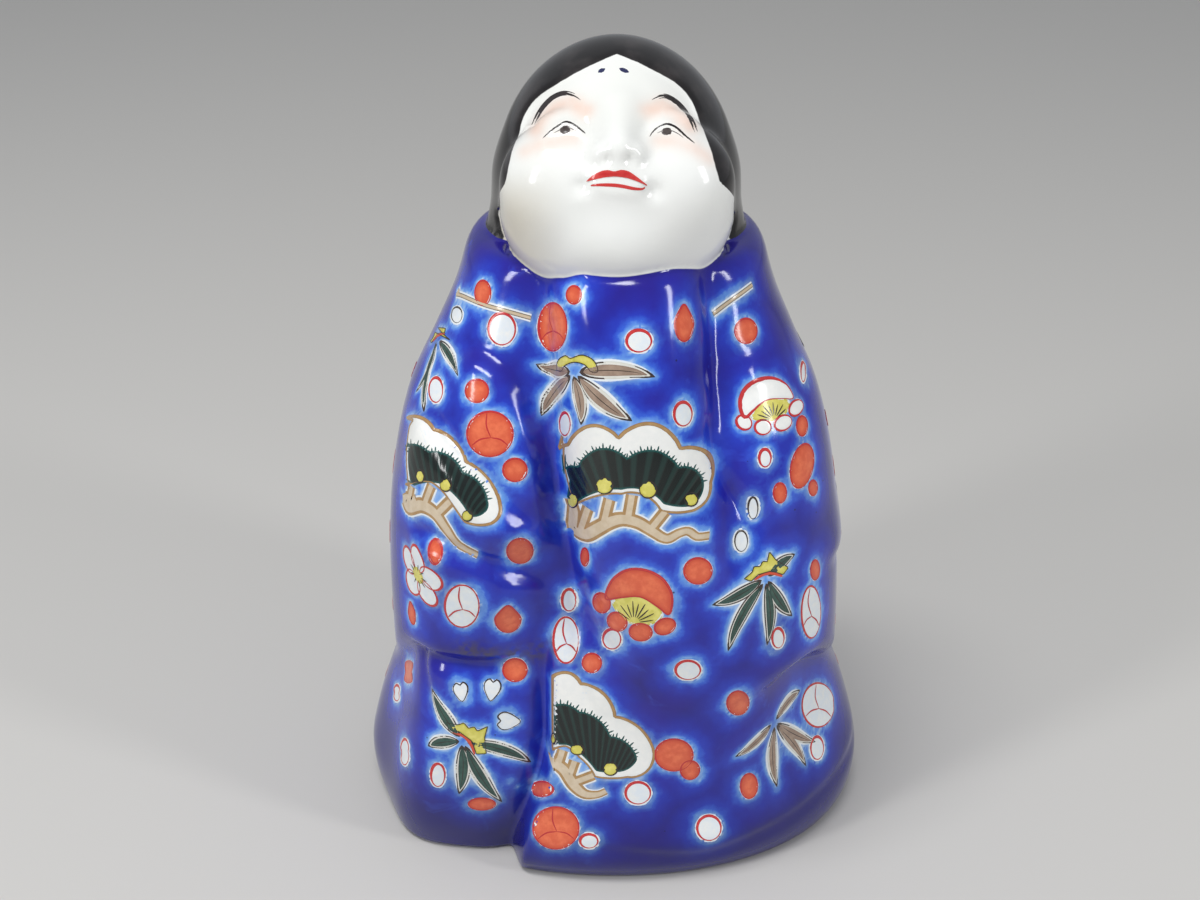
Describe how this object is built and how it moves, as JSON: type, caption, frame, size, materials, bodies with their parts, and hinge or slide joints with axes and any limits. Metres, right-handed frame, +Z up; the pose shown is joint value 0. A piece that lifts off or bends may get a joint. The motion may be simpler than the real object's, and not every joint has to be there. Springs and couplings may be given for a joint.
{
  "type": "otafuku figurine",
  "caption": "Glazed porcelain otafuku: a kneeling woman in a plum, pine and bamboo robe, sleeves raised under her chin, round face turned up.",
  "frame": {"origin": "on the surface that the figurine stands on, under the middle of her robe", "axes": "+Z up; she kneels facing -Y, with +X to the right of someone who looks at her face"},
  "size_m": [0.0972, 0.0779, 0.149],
  "materials": {
    "cobalt_glaze": "glossy cobalt-blue overglaze enamel on white porcelain, pooled from sky blue to violet; gloss plastic stands in for glazed porcelain",
    "white_glaze": "glossy white glaze, of the face and of the reserved shapes in the robe's pattern",
    "black_enamel": "glossy black enamel of the hair, brows and lashes, worn thin at the ends of the hair",
    "red_enamel": "glossy iron-red and orange enamel of the plum blossoms and buds",
    "green_enamel": "glossy dark green enamel of the pine needles and bamboo leaves",
    "brown_enamel": "satin brown and gold-brown enamel of the branches, leaves and outlines",
    "yellow_enamel": "glossy yellow enamel of the stamens and leaf caps"
  },
  "bodies": {
    "root": {"otafuku_figurine": "cobalt_glaze"}
  },
  "joints": []
}
